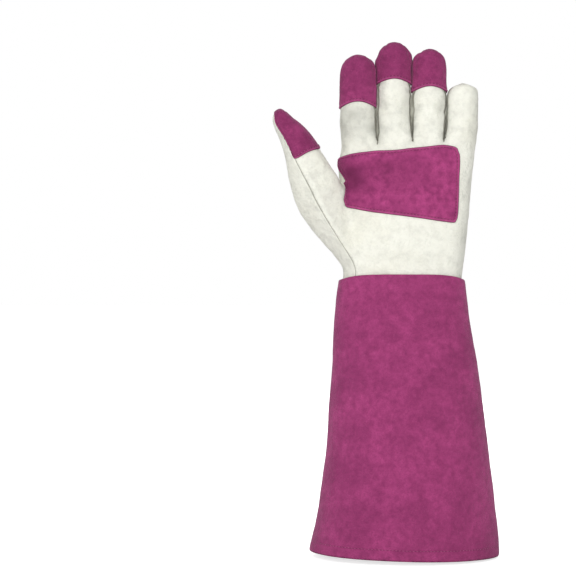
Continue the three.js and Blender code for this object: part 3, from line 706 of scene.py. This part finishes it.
# folds of the worn leather: ends across and up, depth and half width
frontFolds = [
    (-57, 388, -28, 391, 0.50, 2.6),
    (-57, 405, -30, 402, 0.35, 2.2),
    (-57, 419, -28, 416, 0.40, 2.4),
    (-24, 392, 4, 389, 0.45, 2.6),
    (-24, 410, 5, 412, 0.30, 2.2),
    (-24, 428, 5, 431, 0.35, 2.4),
    (8, 390, 37, 393, 0.45, 2.6),
    (8, 409, 37, 407, 0.30, 2.2),
    (8, 426, 38, 423, 0.35, 2.4),
    (40, 389, 66, 385, 0.40, 2.6),
    (40, 404, 66, 402, 0.30, 2.2),
    (-26, 375, -39, 366, 0.65, 2.2),
    (-24, 375, -13, 368, 0.60, 2.2),
    (5, 376, -4, 369, 0.55, 2.0),
    (8, 376, 17, 370, 0.55, 2.0),
    (33, 376, 25, 370, 0.55, 2.0),
    (36, 376, 47, 367, 0.60, 2.2),
    (-92, 338, -70, 354, 0.45, 2.8),
    (-80, 312, -58, 340, 0.40, 3.4),
    (-50, 318, -38, 296, 0.55, 3.2),
    (-58, 338, -50, 322, 0.45, 2.2),
    (-48, 272, 46, 268, 0.35, 4.0),
]
backFolds = [
    (-57, 402, -29, 404, 0.5, 3.2),
    (-24, 410, 5, 412, 0.5, 3.2),
    (8, 407, 38, 405, 0.5, 3.2),
    (40, 396, 66, 394, 0.45, 3.0),
    (-57, 372, -30, 378, 0.45, 3.5),
    (-26, 366, 2, 371, 0.40, 3.5),
    (20, 376, 64, 370, 0.45, 3.5),
    (-50, 352, -14, 360, 0.30, 4.0),
]
# greyer places, partly the hide's own tone and partly painted shade, such as the patch's end and the
# hand's edge turning away: across, up, reach and amount
frontShades = [(-50, 398, 20, 0.95), (-58, 397, 10, 0.50), (-34, 386, 12, 0.50),
               (-20, 386, 9, 0.40), (-8, 400, 12, 0.22), (14, 384, 8, 0.28), (56, 288, 10, 0.62),
               (55, 330, 8, 0.34), (-86, 330, 10, 0.12), (-10, 412, 10, 0.12)]
backShades = [(-40, 378, 16, 0.30), (10, 362, 18, 0.25), (-30, 300, 14, 0.12)]
capShades = [(-46, 418, 9, 0.25), (-20, 449, 8, 0.15)]
patchShades = [(-54, 348, 15, 0.90), (-44, 332, 13, 0.50), (-14, 350, 15, 0.72), (0, 336, 12, 0.36),
               (-28, 356, 8, 0.25), (34, 356, 9, 0.10)]


def foldDepth(place, folds):
    x, z = place.x / mm, place.z / mm
    total = 0.0
    for x1, z1, x2, z2, depth, width in folds:
        along = Vector((x2 - x1, z2 - z1))
        length = along.length
        along /= length
        t = (x - x1) * along.x + (z - z1) * along.y
        if t < -6 or t > length + 6:
            continue
        wobble = 2.2 * noise.noise(Vector((t / 11, x1 * 0.37, z1 * 0.21)))
        off = -(x - x1) * along.y + (z - z1) * along.x + wobble
        ends = smoothStep(-6, 5, t) * (1 - smoothStep(length - 5, length + 6, t))
        broken = 0.6 + 0.5 * noise.noise(Vector((t / 8 + 5, z1 * 0.4, 2.0)))
        total += depth * ends * broken * bell(off, width)
    return total


def softness(place, size, seed):
    return noise.noise(place / (size * mm) + Vector((seed, seed * 0.7, -seed)))


def shadeAt(place, shades):
    x, z = place.x / mm, place.z / mm
    total = 0.0
    for acrossAt, upAt, reach, amount in shades:
        far = ((x - acrossAt) ** 2 + (z - upAt) ** 2) / reach ** 2
        total += amount * math.exp(-far)
    return total * (0.75 + 0.6 * softness(place, 13, 3.9))


leatherShape = {
    "wide": 0.55,     # slow waves of the filled leather
    "middle": 0.26,
    "small": 0.12,
    "pucker": 0.24,   # drawn along the seams
    "ridge": 0.28,    # raised beside the seams
}


def restless(place, edge, scale=1.0):
    onFinger = smoothStep(0.358, 0.385, place.z)
    amount = leatherShape["wide"] * softness(place, 28, 3.1)
    amount += leatherShape["middle"] * softness(place, 11, 7.7) * (1 + 0.4 * onFinger)
    amount += leatherShape["small"] * softness(place, 4.5, 1.3) * (1 + 0.7 * onFinger)
    near = bell(edge, 4.5)
    amount += leatherShape["pucker"] * near * softness(place, 3.4, 9.2) * 2
    amount += leatherShape["ridge"] * bell(edge - 2.1, 1.1)
    return amount * scale * smoothStep(-0.5, 3, edge)


def palmShape(place, normal, edge):
    facing = smoothStep(0.2, -0.4, normal.y)
    fold = foldDepth(place, frontFolds) * facing
    sideways = smoothStep(0.2, 0.9, abs(normal.x)) * smoothStep(0.360, 0.385, place.z)
    turned = valley(place) * facing
    # painted shade: darker in the folds, on the turned sides of the fingers and where they meet their
    # neighbours; the table's places are partly the hide's own tone
    shade = fold * 0.7 + shadeAt(place, frontShades) * facing + 0.35 * sideways
    shade += valleyLook["shade"] * turned
    sunk = Vector((0, valleyLook["depth"] * turned * mm, 0))
    return normal * (restless(place, edge) - fold) * mm + closeFingers(place) + sunk, shade


elastic = {
    "height": 14.5,   # above the cuff
    "left": -45.0,
    "right": 46.0,
    "depth": 1.3,
    "pucker": 10.4,   # from one gather to the next
    "scallop": 2.3,   # how far the sewn line hangs down between two puckers
    "fan": 2.2,       # height of the gathers
    "rise": 22.0,     # how far the gathers run up the back
    "fall": 8.0,      # how far they run down
    # shade is the strength of the painted shade along the sewn line
    "shade": 0.9,
}


def elasticLine(x):
    return elastic["height"] - elastic["scallop"] * math.cos(2 * math.pi * x / elastic["pucker"])


def gatherAmount(place):
    rise = (place.z - cuffTop) / mm
    x = place.x / mm
    if rise < 0 or rise > 75:
        return 0.0
    side = smoothStep(elastic["left"] - 4, elastic["left"] + 8, x)
    side *= 1 - smoothStep(elastic["right"] - 8, elastic["right"] + 4, x)
    off = rise - elasticLine(x)
    wander = Vector((place.x, 0, 0))
    reach = elastic["rise"] * (1 + 0.45 * softness(wander, 12, 6.3))
    fade = bell(off, elastic["fall"]) if off < 0 else math.exp(-(off / reach) ** 1.6)
    lean = 1.4 * softness(place, 26, 4.4) * smoothStep(0, 14, abs(off))
    wave = math.cos(2 * math.pi * x / elastic["pucker"] + lean)
    groove = -elastic["depth"] * (0.75 - 0.35 * wave) * bell(off, 2.2)
    fine = 0.35 * bell(off, 6.0) * math.cos(4.6 * math.pi * x / elastic["pucker"] + 2 * lean)
    ridge = ((0.5 + 0.5 * wave) ** 1.6 - 0.4 + fine) * (0.85 + 0.5 * softness(wander, 21, 2.9))
    return (groove + elastic["fan"] * fade * ridge) * side


def sewnLineShade(place):
    # painted shade along the groove where the thread pulls the leather in
    rise, x = (place.z - cuffTop) / mm, place.x / mm
    if rise < 0 or rise > 40 or x < elastic["left"] or x > elastic["right"]:
        return 0.0
    return elastic["shade"] * bell(rise - elasticLine(x), 1.3)


def backShape(place, normal, edge):
    outward = smoothStep(-0.2, 0.4, normal.y)
    fold = foldDepth(place, backFolds) * outward
    gather = gatherAmount(place) * outward
    # painted shade in the folds, in the hollows of the gathers and along the sewn line; the table's places
    # are partly the hide's own tone
    shade = fold * 0.7 + shadeAt(place, backShades) * outward + max(0.0, -gather) * 0.6
    shade += sewnLineShade(place) * outward
    return normal * (restless(place, edge) - fold + gather) * mm + closeFingers(place), shade


def thumbShape(place, normal, edge):
    return normal * restless(place, edge, 1.15) * mm, 0.10 + 0.2 * max(0.0, softness(place, 14, 8.1))


def crevice(place):
    # 1 on the side of a finger close to its front seam, 0 deeper in
    x, y, z = place.x / mm, place.y / mm, place.z / mm
    for gap, line in gapLines.items():
        away = abs(x - lineAcross(line, z))
        if z < gapRoom["low"] - 6 or z > line["top"] or away > gapRoom["reach"]:
            continue
        sides = gapSides(gap, max(z, gapRoom["low"] + 1))
        if sides:
            seamDepth = sides[4] if x < (sides[0] + sides[1]) / 2 else sides[5]
            return 1 - smoothStep(seamDepth + 2.0, seamDepth + 7.0, y)
    return 0.0


# painted shade on a finger's side away from the seam, rising to the darkest painted shadow in the crevice
sideShade = 0.15  # of a finger's side away from the seam


def sideShape(place, normal, edge):
    # painted shadow: the sides are darkened near the front seam, in the crevice between two fingers
    shade = sideShade + (darkest - sideShade) * crevice(place)
    return normal * restless(place, edge, 0.35) * mm + closeFingers(place), shade


suedeShape = {"wide": 0.30, "middle": 0.20, "groove": 0.42, "ridge": 0.24}
capRelief = 0.6  # the caps' share of the patch's relief


def suedeAmount(place, edge):
    amount = suedeShape["wide"] * softness(place, 22, 5.5) + suedeShape["middle"] * softness(place, 8, 2.4)
    amount *= smoothStep(0, 3, edge)
    amount -= suedeShape["groove"] * bell(edge - sewnInset, 0.6)
    return amount + suedeShape["ridge"] * bell(edge - 1.3, 0.6)


def slideOver(tree, place, shift):
    # a shift along the leather beneath, at the same height over it
    first, firstNormal, face, far = tree.find_nearest(place)
    second, secondNormal, face, far = tree.find_nearest(place + shift)
    rise = (place - first).dot(firstNormal)
    if far > 0.02:
        return shift
    return second + secondNormal * rise - place + ((place - first) - firstNormal * rise)


def capShape(place, normal, edge):
    return normal * suedeAmount(place, edge) * capRelief * mm, shadeAt(place, capShades)


# the thumb cap's outer corner and the patch's end beside the thumb, drawn out over the leather
thumbCorner = {"across": -99.0, "up": 365.6, "reach": 7.0, "shift": (-0.0016, 0, -0.0040)}
patchEnd = {"low": 320, "high": 349, "from": -28, "to": -48, "shift": 5.6, "rise": 1.6, "ragged": 0.6}


def thumbCapShape(place, normal, edge):
    away = math.hypot(place.x / mm - thumbCorner["across"], place.z / mm - thumbCorner["up"])
    weight = bell(away, thumbCorner["reach"])
    move = slideOver(palmTree, place, Vector(thumbCorner["shift"]) * weight)
    return move + normal * suedeAmount(place, edge) * capRelief * mm, 0.12


def patchShape(place, normal, edge):
    x, z = place.x / mm, place.z / mm
    weight = smoothStep(patchEnd["from"], patchEnd["to"], x)
    weight *= 1 - smoothStep(patchEnd["low"], patchEnd["high"], z)
    ragged = patchEnd["ragged"] * softness(place, 3.0, 5.1) * smoothStep(-40, -50, x)
    drawn = Vector((ragged - patchEnd["shift"] * weight, 0, patchEnd["rise"] * weight)) * mm
    move = slideOver(palmTree, place, drawn)
    return move + normal * suedeAmount(place, edge) * mm, shadeAt(place, patchShades)


bodyShapes = {
    "palmPanel": {"shape": palmShape, "roll": 0.62, "closing": 0.22},
    "backPanel": {"shape": backShape, "roll": 0.62, "closing": 0.22},
    "thumbBack": {"shape": thumbShape, "roll": 0.62, "closing": 0.22},
    "fourchetteIndexMiddle": {"shape": sideShape, "roll": 0.5, "closing": 0.22},
    "fourchetteMiddleRing": {"shape": sideShape, "roll": 0.5, "closing": 0.22},
    "fourchetteRingLittle": {"shape": sideShape, "roll": 0.5, "closing": 0.22},
}
suedeShapes = {
    "indexCap": {"shape": capShape, "roll": 0.42, "closing": 0.05},
    "middleCap": {"shape": capShape, "roll": 0.42, "closing": 0.05},
    "ringCap": {"shape": capShape, "roll": 0.42, "closing": 0.05},
    "thumbCap": {"shape": thumbCapShape, "roll": 0.42, "closing": 0.05},
    "palmPatch": {"shape": patchShape, "roll": 0.42, "closing": 0.05},
}


def surfaceTree(piece):
    points = [v.co.copy() for v in piece.data.vertices]
    faces = [tuple(face.vertices) for face in piece.data.polygons]
    return BVHTree.FromPolygons(points, faces)


palmTree = surfaceTree(pieces["palmPanel"])
bodyPlaces = []
bodyMoves = []
for name, settings in bodyShapes.items():
    field = dress(pieces[name], settings)
    bodyPlaces += field["places"]
    bodyMoves += field["moves"]
    print("shaped", name)
bodyField = {"tree": treeOf(bodyPlaces), "moves": bodyMoves}
for name, settings in suedeShapes.items():
    dress(pieces[name], settings, bodyField)
    print("shaped", name)


cuffLook = {
    "wide": 1.1,           # slow waves of the standing suede
    "middle": 0.45,
    "small": 0.18,
    "level": 3,
    "half width": 0.088,   # of the arm's opening
    "half depth": 0.053,
    "tilt": 0.0227,        # slope of the hem from left to right
    "noise radius": 0.055,
}


def cuffRadial(place):
    across = place.x / cuffLook["half width"] ** 2
    return Vector((across, place.y / cuffLook["half depth"] ** 2, 0)).normalized()


def overHem(place):
    # height over the tilted hem, in millimetres
    return (place.z + cuffLook["tilt"] * place.x) / mm


def lapLine(piece):
    # the cut edge of the side lap, found by its sharp upright edges, which are kept crisp
    shape = bmesh.new()
    shape.from_mesh(piece.data)
    layer = creaseLayer(shape)
    spots = []
    for line in shape.edges:
        upright = abs((line.verts[0].co - line.verts[1].co).normalized().z) > 0.9
        turns = [face.normal.dot(cuffRadial(face.calc_center_median())) for face in line.link_faces]
        outside = all(turn > -0.2 for turn in turns)
        if not upright or not outside or abs(line.calc_face_angle_signed(0)) < math.radians(25):
            continue
        line[layer] = 0.8
        if line.calc_face_angle_signed(0) > 0:
            spots += [vert.co.copy() for vert in line.verts]
    shape.to_mesh(piece.data)
    shape.free()
    spots.sort(key=lambda spot: spot.z)
    return spots


def makeCuff():
    piece = copyNode("cuff", "gauntletCuff")
    for look in (cuffSuede, suedeEdge, suedeInside):
        piece.data.materials.append(look)
    mesh = piece.data
    for face in mesh.polygons:
        outside = face.normal.dot(cuffRadial(face.center))
        face.material_index = 0 if outside > 0.12 else 2
        if face.normal.z < -0.7 and face.center.z < 0.012:
            face.material_index = 1
    lap = lapLine(piece)
    smoothOut(piece, cuffLook["level"])
    spots = []
    edges = []
    for vert in mesh.vertices:
        place = vert.co
        angle = math.atan2(place.y / cuffLook["half depth"], place.x / cuffLook["half width"])
        radius = cuffLook["noise radius"]
        around = Vector((math.cos(angle) * radius, math.sin(angle) * radius, place.z))
        free = 1 - 0.75 * smoothStep(0.2, 0.25, place.z)
        amount = cuffLook["wide"] * softness(around, 46, 6.1) * free
        amount += cuffLook["middle"] * softness(around, 19, 2.2) * free
        amount += cuffLook["small"] * softness(around, 7, 8.8)
        amount -= 0.3 * bell(overHem(place) - hemLine, 0.8)
        spots.append(place + cuffRadial(place) * amount * mm)
        edges.append(overHem(place))
    for vert, spot in zip(mesh.vertices, spots):
        vert.co = spot
    mesh.update()
    writeAttribute(piece, "edgeDistance", edges)
    writeAttribute(piece, "hollowShade", [0.0] * len(edges))
    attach(piece, "root")
    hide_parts("cuff")
    print("made gauntletCuff", len(mesh.polygons), "faces")
    return piece, lap


pieces["gauntletCuff"], lap = makeCuff()
print("lap edge from", [round(v, 4) for v in lap[0]], "to", [round(v, 4) for v in lap[-1]], len(lap))


stitchShape = {
    "length": 2.3,
    "width": 0.62,
    "height": 0.5,
    "pitch": 3.1,
    "lift": 0.12,   # how far the middle stands out
    "dive": 0.28,   # how far the ends go down
}
# where the sewn lines run, in metres, and the lower share of a finger's cap
sewnWhere = {
    "cap share": 0.32,
    "thumb top": 0.374,
    "patch left": -0.056,
    "patch back": -0.012,
    "lap low": 0.013,
    "lap high": 0.250,
}


def stitchTemplate():
    deselectAll()
    bpy.ops.mesh.primitive_uv_sphere_add(segments=6, ring_count=5, radius=0.5)
    piece = bpy.context.active_object
    bpy.ops.object.mode_set(mode="EDIT")
    bpy.ops.mesh.select_all(action="SELECT")
    bpy.ops.transform.rotate(value=math.pi / 2, orient_axis="Y", center_override=(0, 0, 0))
    bpy.ops.object.mode_set(mode="OBJECT")
    points = [v.co.copy() for v in piece.data.vertices]
    faces = [tuple(face.vertices) for face in piece.data.polygons]
    bpy.data.objects.remove(piece)
    return points, faces


stitchPoints, stitchFaces = stitchTemplate()


def evenly(points, closed=False):
    # spots and directions a stitch apart along a line of points
    line = points + [points[0]] if closed else points
    lengths = [0.0]
    for a, b in zip(line, line[1:]):
        lengths.append(lengths[-1] + (b - a).length)
    count = max(1, round(lengths[-1] / (stitchShape["pitch"] * mm)))
    spots = []
    k = 0
    for i in range(count):
        want = (i + 0.5) * lengths[-1] / count
        while lengths[k + 1] < want:
            k += 1
        a, b = line[k], line[k + 1]
        t = (want - lengths[k]) / max(1e-9, lengths[k + 1] - lengths[k])
        spots.append((a.lerp(b, t), (b - a).normalized()))
    return spots


def sewRow(name, rows, look, size=1.0):
    # rows hold (spot, direction, normal) of every stitch
    points = []
    faces = []
    length = stitchShape["length"] * size * mm
    width = stitchShape["width"] * size * mm
    height = stitchShape["height"] * size * mm
    for spot, along, up in rows:
        side = up.cross(along).normalized()
        along = side.cross(up).normalized()
        start = len(points)
        for p in stitchPoints:
            arch = (stitchShape["lift"] - (2 * p.x) ** 2 * stitchShape["dive"]) * mm
            points.append(spot + along * p.x * length + side * p.y * width + up * (p.z * height + arch))
        faces.extend(tuple(start + v for v in face) for face in stitchFaces)
    mesh = bpy.data.meshes.new(name)
    mesh.from_pydata(points, [], faces)
    mesh.update()
    piece = addObject(name, mesh)
    mesh.materials.append(look)
    makeActive(piece)
    bpy.ops.object.shade_smooth()
    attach(piece, "root")
    print("sewed", name, len(rows), "stitches")


def insetRow(piece, keep):
    # stitches on the outer side of a piece, a little way in from its edge
    tree = surfaceTree(piece)
    rows = []
    for loop in rimLoops(piece):
        run = []
        runs = []
        for spot, away in loop + loop[:1]:
            if keep(spot):
                run.append(spot + away * sewnInset * mm)
            elif run:
                runs.append(run)
                run = []
        if run:
            runs.append(run)
        for line in runs:
            if len(line) < 4:
                continue
            for spot, along in evenly(line):
                hit, up, face, far = tree.find_nearest(spot)
                if hit is not None:
                    rows.append((hit, along, up))
    return rows


def capEdge(piece):
    # tells the lower edge of a cap from the seam round its tip
    low = min(v.co.z for v in piece.data.vertices)
    high = max(v.co.z for v in piece.data.vertices)
    return lambda spot: spot.z < low + (high - low) * sewnWhere["cap share"]


capRows = []
for name in ("indexCap", "middleCap", "ringCap"):
    capRows += insetRow(pieces[name], capEdge(pieces[name]))
capRows += insetRow(pieces["thumbCap"], lambda spot: spot.z < sewnWhere["thumb top"])
sewRow("capStitches", capRows, roseThread, 0.8)


def patchEdge(spot):
    return spot.x > sewnWhere["patch left"] and spot.y < sewnWhere["patch back"]


patchRows = insetRow(pieces["palmPatch"], patchEdge)
sewRow("patchStitches", patchRows, roseThread, 0.85)


def zigzagRow(piece, left, right, swing, pitch):
    # elastic thread sewn to and fro across the back of the wrist
    tree = surfaceTree(piece)
    spots = []
    count = round((right - left) / pitch)
    for i in range(count + 1):
        x = left + (right - left) * i / count
        z = elasticLine(x) + (swing if i % 2 else -swing)
        hit, up, face, far = tree.ray_cast(Vector((x * mm, 0.08, cuffTop + z * mm)), Vector((0, -1, 0)))
        if hit is not None:
            spots.append((hit, up))
    rows = []
    for (a, upA), (b, upB) in zip(spots, spots[1:]):
        rows.append(((a + b) / 2, (b - a).normalized(), (upA + upB).normalized()))
    return rows


elasticRows = zigzagRow(pieces["backPanel"], elastic["left"] + 3, elastic["right"] - 4, 0.45, 2.3)
sewRow("elasticStitches", elasticRows, creamThread, 0.85)


ringRays = 720  # rays that find the hem all round


def cuffRing(piece, height):
    # stitches round the cuff at one height over the hem
    tree = surfaceTree(piece)
    spots = []
    for i in range(ringRays):
        angle = 2 * math.pi * i / ringRays
        away = Vector((math.cos(angle) * 0.2, math.sin(angle) * 0.12, 0))
        z = height * mm - cuffLook["tilt"] * cuffLook["half width"] * math.cos(angle)
        hit, up, face, far = tree.ray_cast(away + Vector((0, 0, z)), -away.normalized())
        if hit is not None:
            spots.append(hit)
    rows = []
    for spot, along in evenly(spots, closed=True):
        hit, up, face, far = tree.find_nearest(spot)
        rows.append((hit, along, up))
    return rows


sewRow("hemStitches", cuffRing(pieces["gauntletCuff"], hemLine), roseThread, 0.9)


def lapRow(piece, spots):
    # stitches beside the cut edge of the side lap
    tree = surfaceTree(piece)
    line = []
    for spot in spots:
        if line and (spot - line[-1]).length < 0.004:
            continue
        out = cuffRadial(spot)
        along = Vector((0, 0, 1)).cross(out)
        along *= math.copysign(1, along.x)
        line.append(spot + along * sewnInset * mm)
    rows = []
    for spot, along in evenly(line):
        hit, up, face, far = tree.find_nearest(spot)
        if sewnWhere["lap low"] < hit.z < sewnWhere["lap high"]:
            rows.append((hit, along, up))
    return rows


sewRow("lapStitches", lapRow(pieces["gauntletCuff"], lap), roseThread, 0.9)


def addArea(name, place, target, size, power):
    light = bpy.data.lights.new(name, "AREA")
    light.energy = power
    light.size = size
    lamp = addObject(name, light)
    lamp.location = place
    lamp.rotation_euler = (Vector(target) - Vector(place)).to_track_quat("-Z", "Y").to_euler()


studio = {"ambient": 0.44, "key": 25.0, "left": 5.5, "right": 2.5, "back": 20.0, "floor": 0.72}
centre = (0.0, 0.0, 0.25)
addArea("keyLight", (-0.25, -1.95, 0.9), centre, 1.2, studio["key"])
addArea("leftLight", (-1.6, -0.8, 0.4), centre, 1.4, studio["left"])
addArea("rightLight", (1.4, -1.2, 0.4), centre, 1.4, studio["right"])
addArea("backLight", (0.3, 1.9, 0.9), centre, 1.4, studio["back"])

world = bpy.data.worlds.new("studioWorld")
scene.world = world
world.use_nodes = True
worldTree = world.node_tree
backdrop = worldTree.nodes["Background"]
setInputs(backdrop, {"Color": (1, 1, 1, 1), "Strength": studio["ambient"]})
bright = addNode(worldTree, "ShaderNodeBackground")
setInputs(bright, {"Color": (1, 1, 1, 1), "Strength": 1.0})
seen = addNode(worldTree, "ShaderNodeLightPath")
choose = addNode(worldTree, "ShaderNodeMixShader")
worldTree.links.new(seen.outputs["Is Camera Ray"], choose.inputs[0])
worldTree.links.new(backdrop.outputs[0], choose.inputs[1])
worldTree.links.new(bright.outputs[0], choose.inputs[2])
worldTree.links.new(choose.outputs[0], worldTree.nodes["World Output"].inputs["Surface"])

floorLook = bpy.data.materials.new("paleFloor")
floorLook.use_nodes = True
floorTree = floorLook.node_tree
floorShader = floorTree.nodes["Principled BSDF"]
setInputs(floorShader, {"Base Color": (0.86, 0.86, 0.86, 1), "Roughness": 1.0,
                        "Specular IOR Level": 0.0, "Emission Color": (1, 1, 1, 1)})
seenFloor = addNode(floorTree, "ShaderNodeLightPath").outputs["Is Camera Ray"]
floorGlow = mathOf(floorTree, "MULTIPLY", seenFloor, studio["floor"])
floorTree.links.new(floorGlow, floorShader.inputs["Emission Strength"])
deselectAll()
floorHeight = min(cadBox[0][2], cadBox[1][2]) - 0.0015
bpy.ops.mesh.primitive_plane_add(size=40, location=(0, 0, floorHeight))
floor = bpy.context.active_object
floor.name = "paleFloor"
floor.data.materials.append(floorLook)

lens = bpy.data.cameras.new("photoCamera")
lens.sensor_width = 36
lens.lens = 96
lens.clip_start = 0.01
camera = addObject("photoCamera", lens)
camera.location = (-0.1067, -1.413, 0.2434)
camera.rotation_euler = (math.pi / 2, 0, 0)
scene.camera = camera
deselectAll()
print("studio ready")
